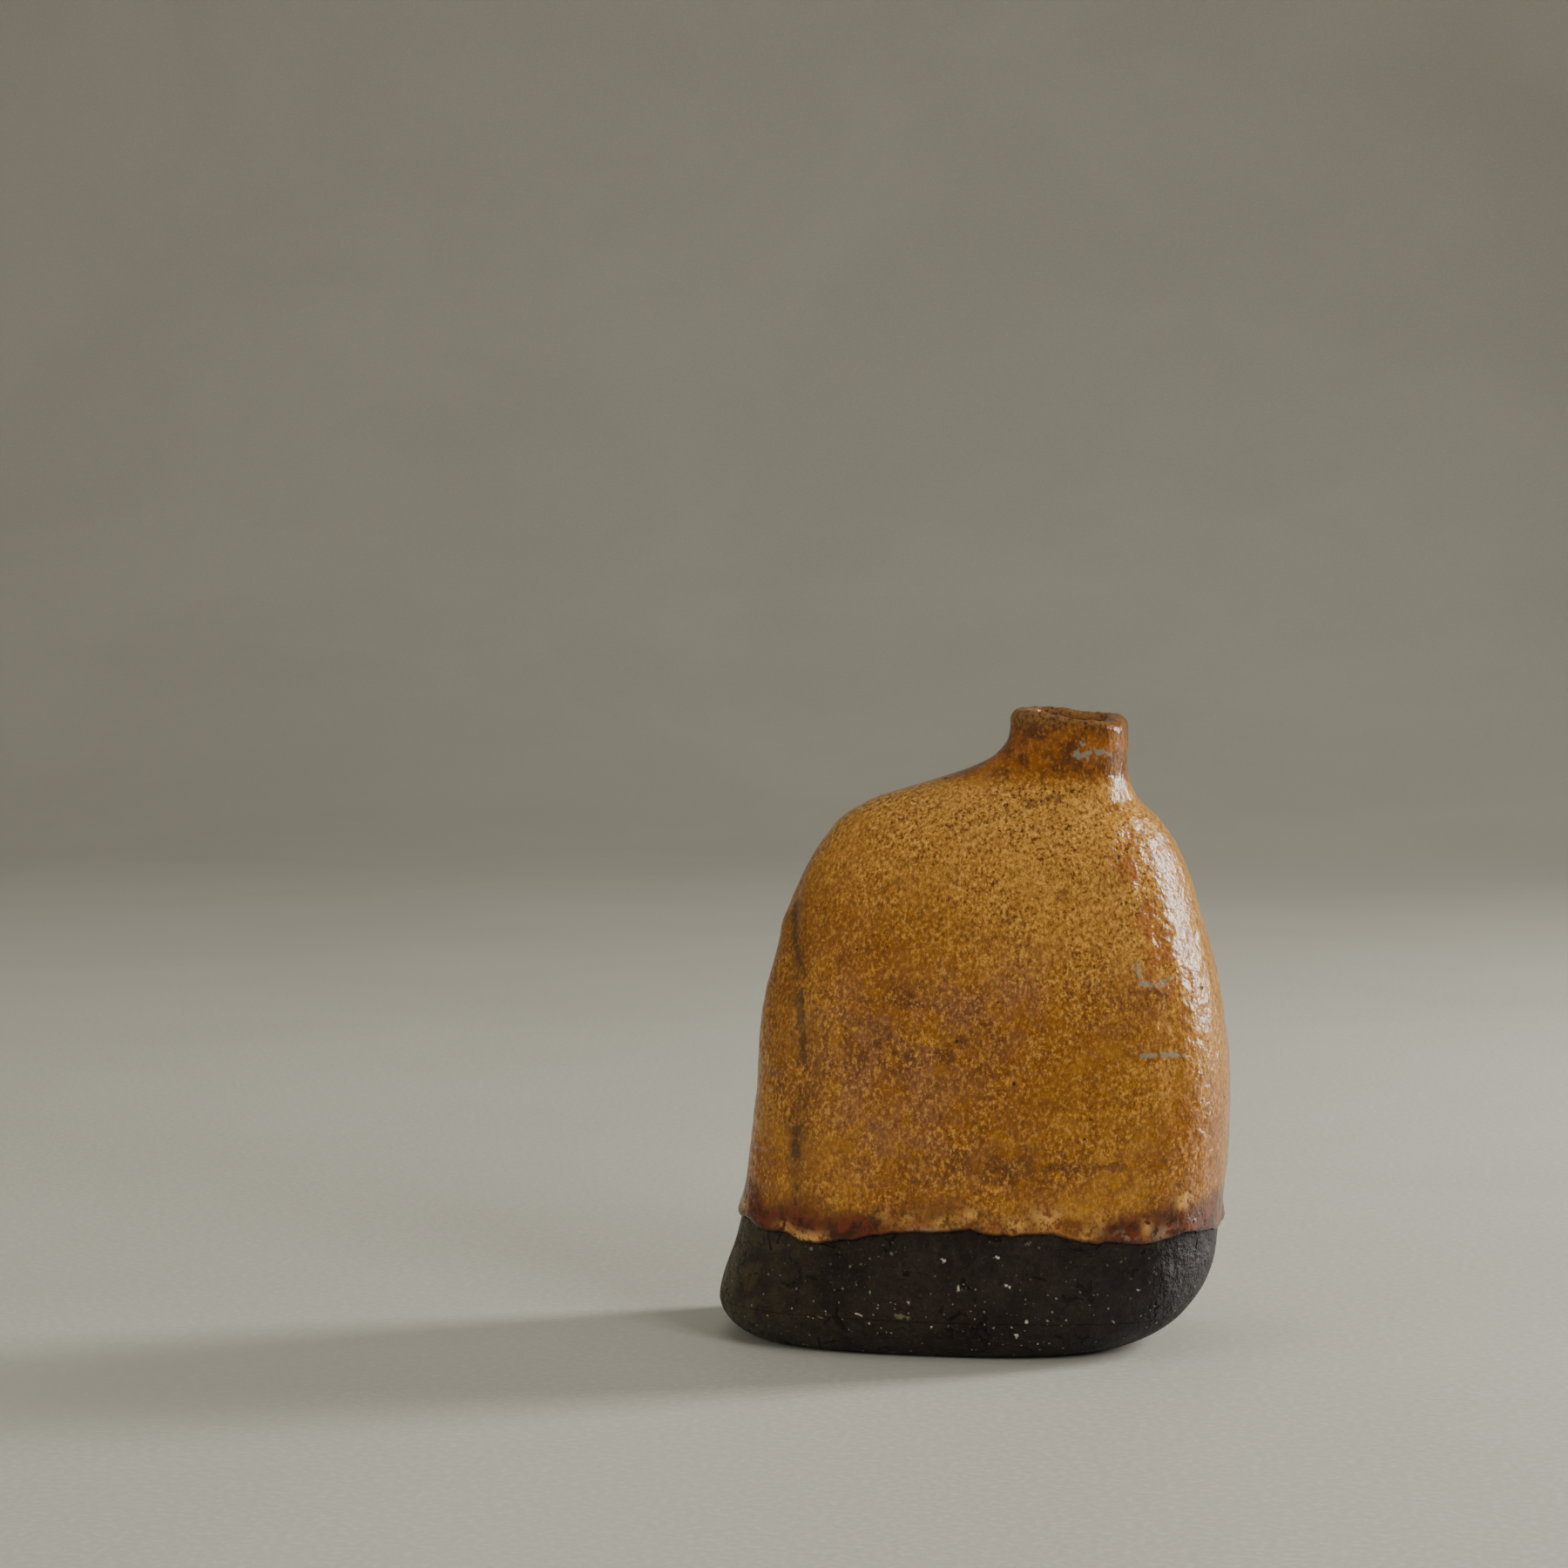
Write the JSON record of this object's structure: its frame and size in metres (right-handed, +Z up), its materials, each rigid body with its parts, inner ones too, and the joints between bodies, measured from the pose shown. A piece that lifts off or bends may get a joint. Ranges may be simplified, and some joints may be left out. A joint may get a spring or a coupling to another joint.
{
  "type": "stoneware pottery vase",
  "caption": "Small slab-built stoneware bud vase with a lopsided shouldered body, an off-centre square-cornered neck, an amber outer glaze and a bare dark foot.",
  "frame": {"origin": "middle of the footprint, on the surface that the vase stands on", "axes": "+Z up through the neck, +X towards the side that the neck stands nearest, -Y is the broad front face"},
  "size_m": [0.0779, 0.046, 0.0966],
  "materials": {
    "stoneware": "matte unglazed chocolate-black body with pale grog specks",
    "coil_clay": "matte smoothed clay",
    "amber_glaze": "semi-gloss amber glaze with iron breaking and pinholes",
    "liner_glaze": "thin glossy brown liner"
  },
  "bodies": {
    "root": {"floor_slab": "stoneware", "front_slab": "stoneware", "right_side_slab": "stoneware", "back_slab": "stoneware", "left_side_slab": "stoneware", "neck_collar": "stoneware", "neck_joint_coil": "coil_clay", "floor_seam_coil": "coil_clay", "seam_coil_front_left": "coil_clay", "seam_coil_front_right": "coil_clay", "seam_coil_back_right": "coil_clay", "seam_coil_back_left": "coil_clay", "glaze_coat": "amber_glaze", "liner_glaze": "liner_glaze"}
  },
  "joints": []
}
